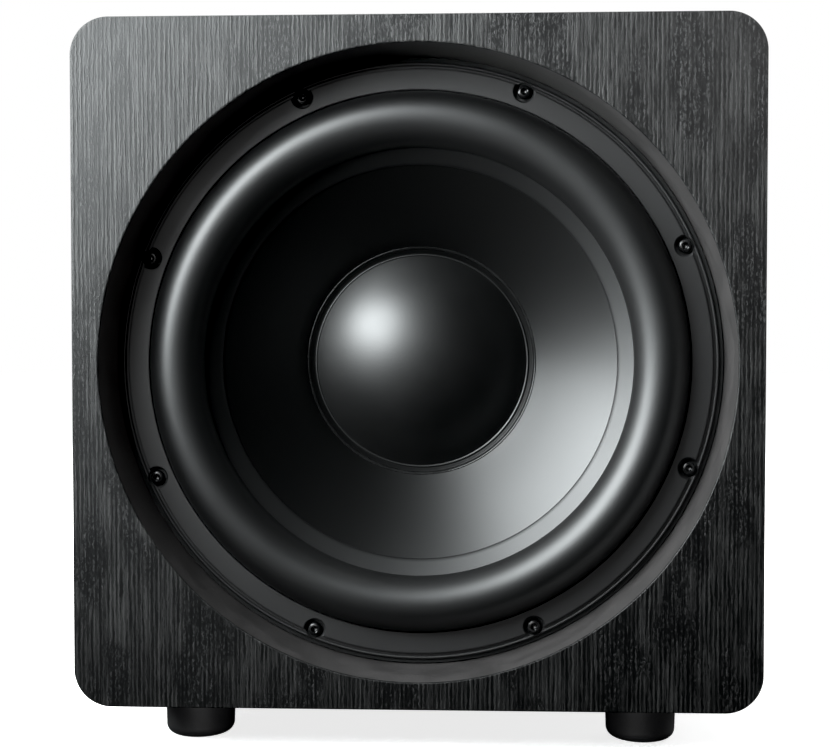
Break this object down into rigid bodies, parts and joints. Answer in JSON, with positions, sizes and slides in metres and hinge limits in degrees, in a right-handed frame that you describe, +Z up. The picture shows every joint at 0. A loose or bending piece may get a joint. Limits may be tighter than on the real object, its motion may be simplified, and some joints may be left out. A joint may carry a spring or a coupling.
{
  "type": "powered subwoofer",
  "caption": "Near-cubic black-ash powered subwoofer: one driver set deep in a round recess, a plate amplifier on the back, and round rubber feet.",
  "frame": {"origin": "on the floor, below the middle of the whole object's box", "axes": "+Z up, the driver faces -Y, the amplifier panel faces +Y"},
  "size_m": [0.343, 0.39, 0.368],
  "materials": {
    "black_ash_vinyl": "wood-grain vinyl over fibreboard, satin",
    "fibreboard": "raw fibreboard, matt",
    "wadding": "loose fibre wadding",
    "foot_rubber": "moulded rubber, satin",
    "zinc_steel": "zinc plated",
    "black_steel": "black oxide, slightly oily",
    "gasket_foam": "closed-cell foam, matt",
    "basket_paint": "black powder coat",
    "trim_rubber": "moulded rubber, satin",
    "surround_rubber": "soft rubber, semi-gloss",
    "cone_skin": "moulded polypropylene, satin",
    "cap_skin": "moulded polypropylene, semi-gloss",
    "former_sheet": "rolled sheet",
    "copper_wire": "lacquered copper winding",
    "spider_cloth": "resin-dipped woven cloth",
    "motor_steel": "machined, passivated",
    "ferrite": "pressed and ground",
    "laminate_board": "resin laminate",
    "tinsel_braid": "braided wire",
    "wire_sleeve": "soft sleeve",
    "amp_paint": "fine black texture paint",
    "sink_anodised": "black anodised extrusion",
    "green_board": "solder mask",
    "brass_spacer": "turned",
    "black_plastic": "moulded, fine grain",
    "capacitor_sleeve": "shrink sleeve",
    "transformer_tape": "polyester tape wrap",
    "pot_steel": "stamped and plated",
    "knob_plastic": "soft-touch",
    "jack_plating": "gold plated",
    "led_lens": "tinted lens",
    "white_plastic": "moulded"
  },
  "bodies": {
    "cabinet": {"front_baffle": "black_ash_vinyl", "mounting_baffle": "fibreboard", "top_panel": "black_ash_vinyl", "left_panel": "black_ash_vinyl", "right_panel": "black_ash_vinyl", "bottom_panel": "black_ash_vinyl", "corner_post_top_right": "black_ash_vinyl", "corner_post_bottom_right": "black_ash_vinyl", "corner_post_bottom_left": "black_ash_vinyl", "corner_post_top_left": "black_ash_vinyl", "rear_panel": "black_ash_vinyl", "window_brace": "fibreboard", "damping_lining": "wadding", "foot_front_left": "foot_rubber", "foot_front_right": "foot_rubber", "foot_rear_left": "foot_rubber", "foot_rear_right": "foot_rubber", "foot_screws": "zinc_steel", "baffle_gasket": "gasket_foam", "basket": "basket_paint", "trim_ring": "trim_rubber", "driver_screws": "black_steel", "tee_nuts": "zinc_steel", "top_plate": "motor_steel", "magnet": "ferrite", "pole_yoke": "motor_steel", "terminal_block": "laminate_board", "speaker_leads": "wire_sleeve", "amp_gasket": "gasket_foam", "amp_plate": "amp_paint", "amp_screws": "black_steel", "heatsink": "sink_anodised", "circuit_board": "green_board", "board_standoffs": "brass_spacer", "output_transistors": "black_plastic", "filter_capacitors": "capacitor_sleeve", "transformer": "transformer_tape", "transformer_bolt": "zinc_steel", "volume_pot": "pot_steel", "crossover_pot": "pot_steel", "pot_nuts": "zinc_steel", "phase_switch": "black_plastic", "rca_jacks": "jack_plating", "power_switch": "black_plastic", "iec_inlet": "black_plastic", "fuse_holder": "black_plastic", "status_led": "led_lens"},
    "cone_assembly": {"cone": "cone_skin", "dust_cap": "cap_skin", "voice_coil_former": "former_sheet", "voice_coil": "copper_wire", "surround": "surround_rubber", "spider": "spider_cloth", "tinsel_leads": "tinsel_braid"},
    "volume_control": {"volume_shaft": "pot_steel", "volume_knob": "knob_plastic"},
    "crossover_control": {"crossover_shaft": "pot_steel", "crossover_knob": "knob_plastic"},
    "phase_control": {"phase_slider": "white_plastic"},
    "rocker": {"power_rocker": "black_plastic"}
  },
  "joints": [
    {"name": "cone_travel", "type": "slide", "parent": "cabinet", "child": "cone_assembly", "axis": [0, -1, 0], "range_m": [-0.012, 0.012], "stiffness_N_per_m": 4000, "deforming": ["surround", "spider", "tinsel_leads"]},
    {"name": "volume_turn", "type": "hinge", "parent": "cabinet", "child": "volume_control", "pos_m": [0.066, 0.187, 0.206], "axis": [0, 1, 0], "range_deg": [-150, 150]},
    {"name": "crossover_turn", "type": "hinge", "parent": "cabinet", "child": "crossover_control", "pos_m": [0.022, 0.187, 0.206], "axis": [0, 1, 0], "range_deg": [-150, 150]},
    {"name": "phase_slide", "type": "slide", "parent": "cabinet", "child": "phase_control", "axis": [1, 0, 0], "range_m": [0, 0.0044]},
    {"name": "rocker_tilt", "type": "hinge", "parent": "cabinet", "child": "rocker", "pos_m": [-0.068, 0.1806, 0.188], "axis": [1, 0, 0], "range_deg": [-18, 0]}
  ]
}
